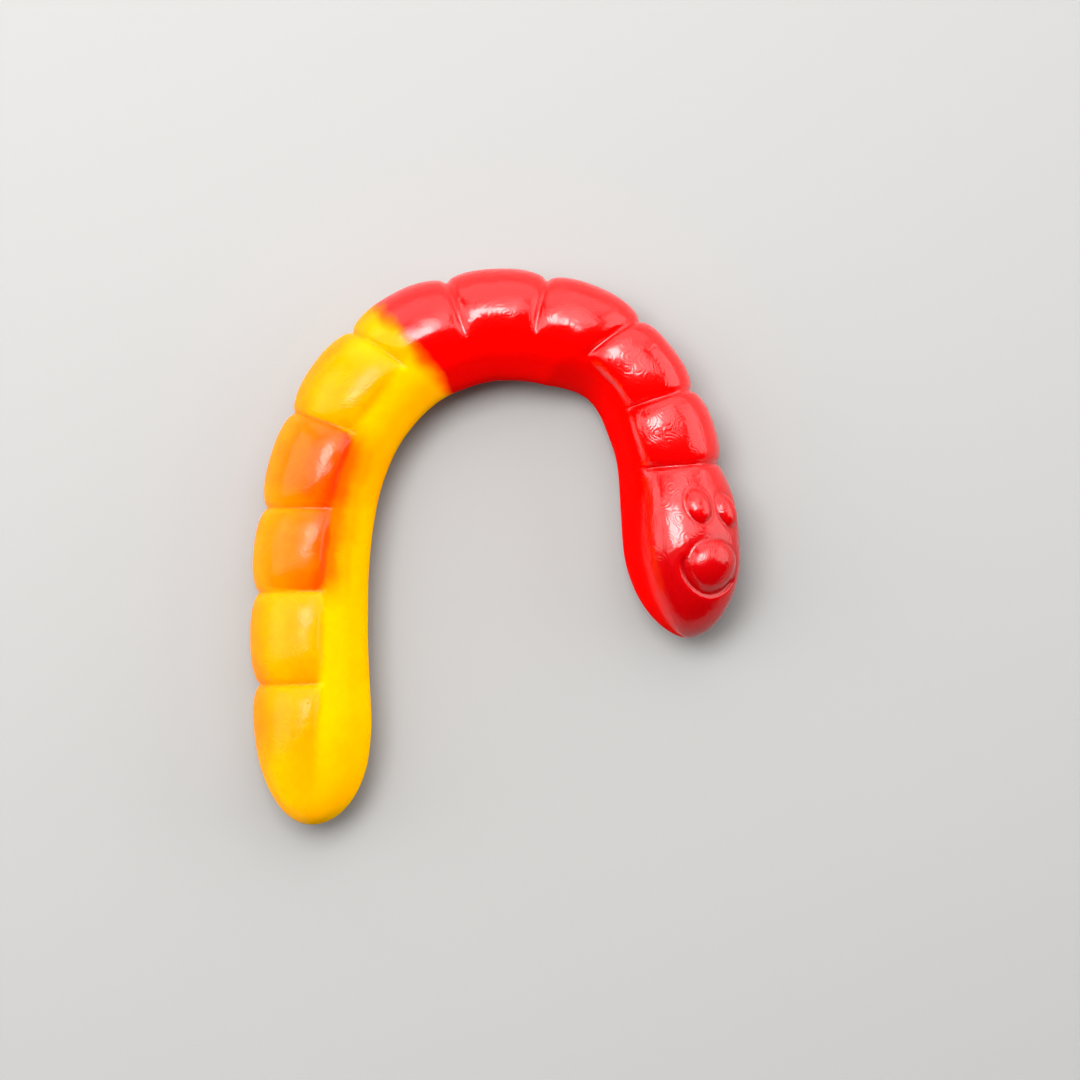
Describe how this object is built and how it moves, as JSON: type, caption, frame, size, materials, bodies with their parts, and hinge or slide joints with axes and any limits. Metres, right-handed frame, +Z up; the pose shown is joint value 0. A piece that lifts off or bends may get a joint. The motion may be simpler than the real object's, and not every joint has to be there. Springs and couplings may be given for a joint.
{
  "type": "gummy worm",
  "caption": "Moulded gelatine sweet in the form of a worm, bent into an arch and lying flat, with pillow-like segments, a round tail and a head with a simple smiling face.",
  "frame": {"origin": "middle of the worm's outline seen from above, on the surface that it lies on", "axes": "+Y runs along the two limbs from their ends to the crown of the arch, +X from the tail's limb to the head's limb, +Z up out of the surface"},
  "size_m": [0.044, 0.05, 0.0109],
  "materials": {
    "gelatine": "glossy translucent fruit gelatine, yellow tail and limb with an orange stretch, red crown and head"
  },
  "bodies": {
    "root": {"gummy_worm": "gelatine"}
  },
  "joints": []
}
